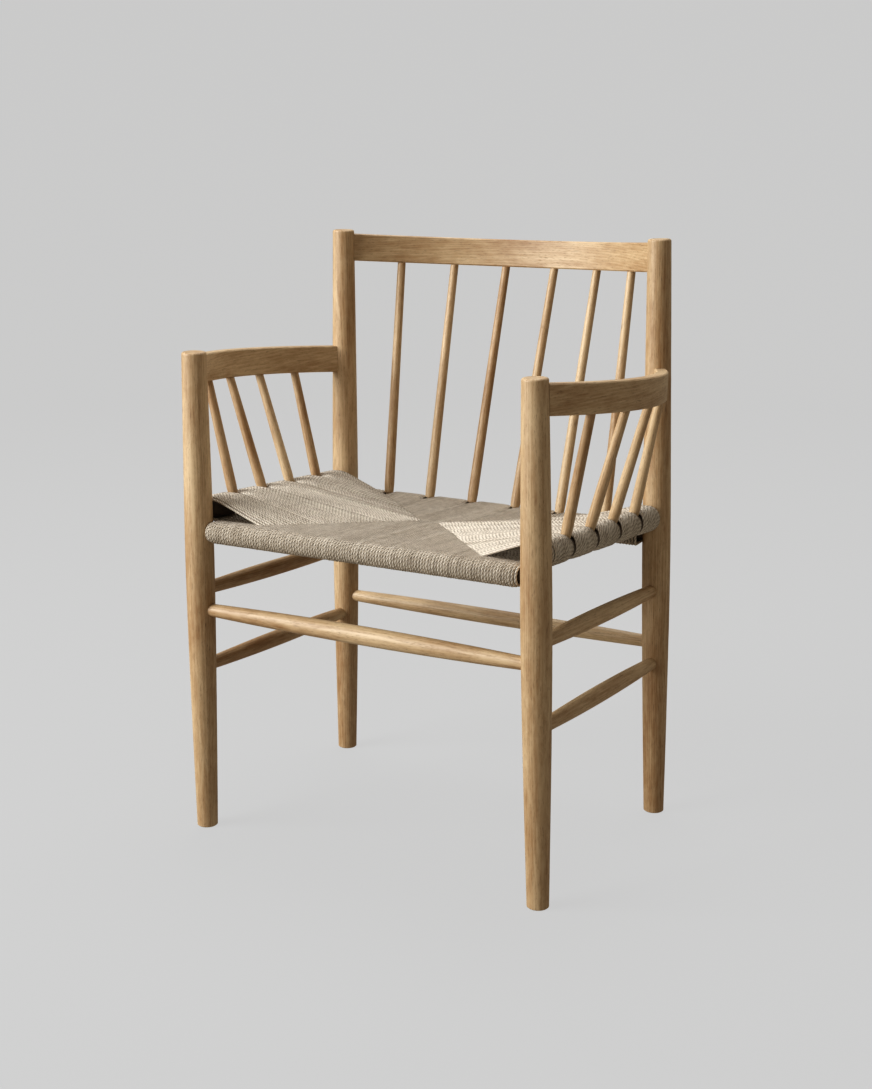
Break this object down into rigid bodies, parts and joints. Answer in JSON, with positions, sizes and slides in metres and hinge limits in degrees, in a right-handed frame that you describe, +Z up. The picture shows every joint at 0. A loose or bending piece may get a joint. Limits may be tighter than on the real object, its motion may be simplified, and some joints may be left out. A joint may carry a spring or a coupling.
{
  "type": "armchair",
  "caption": "Light oak armchair with turned posts, bent crest and arm boards on spindles, round stretchers and an envelope-woven paper cord seat.",
  "frame": {"origin": "on the floor, at the middle of the chair's footprint box", "axes": "+Z up, the sitter faces -Y, +X is to the right of a viewer who stands in front and looks at the chair"},
  "size_m": [0.6218, 0.4998, 0.8021],
  "materials": {
    "oak": "soaped oak, matt, with open grain",
    "paper_cord": "twisted natural paper cord, matt, lightly waxed",
    "tack_steel": "plain steel"
  },
  "bodies": {
    "root": {"front_left_post": "oak", "front_right_post": "oak", "back_left_post": "oak", "back_right_post": "oak", "front_seat_rail": "oak", "back_seat_rail": "oak", "left_seat_rail": "oak", "right_seat_rail": "oak", "front_stretcher": "oak", "back_stretcher": "oak", "left_upper_stretcher": "oak", "right_upper_stretcher": "oak", "left_lower_stretcher": "oak", "right_lower_stretcher": "oak", "crest_rail": "oak", "left_arm": "oak", "right_arm": "oak", "back_spindle_1": "oak", "back_spindle_2": "oak", "back_spindle_3": "oak", "back_spindle_4": "oak", "back_spindle_5": "oak", "back_spindle_6": "oak", "left_arm_spindle_1": "oak", "left_arm_spindle_2": "oak", "left_arm_spindle_3": "oak", "left_arm_spindle_4": "oak", "right_arm_spindle_1": "oak", "right_arm_spindle_2": "oak", "right_arm_spindle_3": "oak", "right_arm_spindle_4": "oak", "woven_seat": "paper_cord", "cord_tacks": "tack_steel"}
  },
  "joints": []
}
